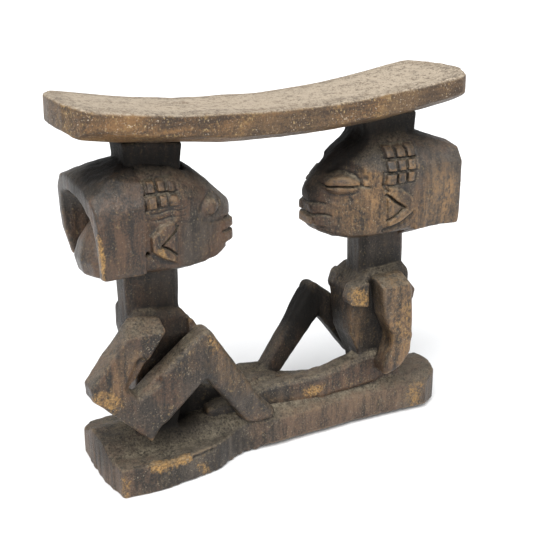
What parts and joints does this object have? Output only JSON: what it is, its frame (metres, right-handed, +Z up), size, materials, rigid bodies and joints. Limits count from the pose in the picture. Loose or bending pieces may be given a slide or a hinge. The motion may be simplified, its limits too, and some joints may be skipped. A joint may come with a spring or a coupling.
{
  "type": "headrest",
  "caption": "Carved wooden headrest: a curved pillow borne on the heads of seated figures that face each other with interlaced legs on a waisted base.",
  "frame": {"origin": "middle of the base's underside, under the middle of the bounding box", "axes": "+Z up, +X along the pillow from figure_a towards figure_b, +Y to the left of figure_a as it faces +X"},
  "size_m": [0.192, 0.056, 0.1719],
  "materials": {
    "pillow_wood": "worn satin, mottled tan on a grey-brown top",
    "figure_wood": "dark handled patina, satin",
    "hair_wood": "dark handled patina with worn ochre edges",
    "base_wood": "dry, dusty, tool-marked"
  },
  "bodies": {
    "root": {"base": "base_wood", "figure_a_hair_roof": "hair_wood", "figure_a_head": "figure_wood", "figure_a_head_block": "figure_wood", "figure_a_left_braid_panel": "hair_wood", "figure_a_left_breast": "figure_wood", "figure_a_left_ear": "figure_wood", "figure_a_left_eye": "figure_wood", "figure_a_left_foot": "figure_wood", "figure_a_left_forearm": "figure_wood", "figure_a_left_hair_wing": "hair_wood", "figure_a_left_shin": "figure_wood", "figure_a_left_thigh": "figure_wood", "figure_a_left_upper_arm": "figure_wood", "figure_a_lips": "figure_wood", "figure_a_nape_curl": "hair_wood", "figure_a_neck": "figure_wood", "figure_a_right_braid_panel": "hair_wood", "figure_a_right_breast": "figure_wood", "figure_a_right_ear": "figure_wood", "figure_a_right_eye": "figure_wood", "figure_a_right_foot": "figure_wood", "figure_a_right_forearm": "figure_wood", "figure_a_right_hair_wing": "hair_wood", "figure_a_right_shin": "figure_wood", "figure_a_right_thigh": "figure_wood", "figure_a_right_upper_arm": "figure_wood", "figure_a_torso": "figure_wood", "figure_b_hair_roof": "hair_wood", "figure_b_head": "figure_wood", "figure_b_head_block": "figure_wood", "figure_b_left_braid_panel": "hair_wood", "figure_b_left_breast": "figure_wood", "figure_b_left_ear": "figure_wood", "figure_b_left_eye": "figure_wood", "figure_b_left_foot": "figure_wood", "figure_b_left_forearm": "figure_wood", "figure_b_left_hair_wing": "hair_wood", "figure_b_left_shin": "figure_wood", "figure_b_left_thigh": "figure_wood", "figure_b_left_upper_arm": "figure_wood", "figure_b_lips": "figure_wood", "figure_b_nape_curl": "hair_wood", "figure_b_neck": "figure_wood", "figure_b_right_braid_panel": "hair_wood", "figure_b_right_breast": "figure_wood", "figure_b_right_ear": "figure_wood", "figure_b_right_eye": "figure_wood", "figure_b_right_foot": "figure_wood", "figure_b_right_forearm": "figure_wood", "figure_b_right_hair_wing": "hair_wood", "figure_b_right_shin": "figure_wood", "figure_b_right_thigh": "figure_wood", "figure_b_right_upper_arm": "figure_wood", "figure_b_torso": "figure_wood", "pillow": "pillow_wood"}
  },
  "joints": []
}
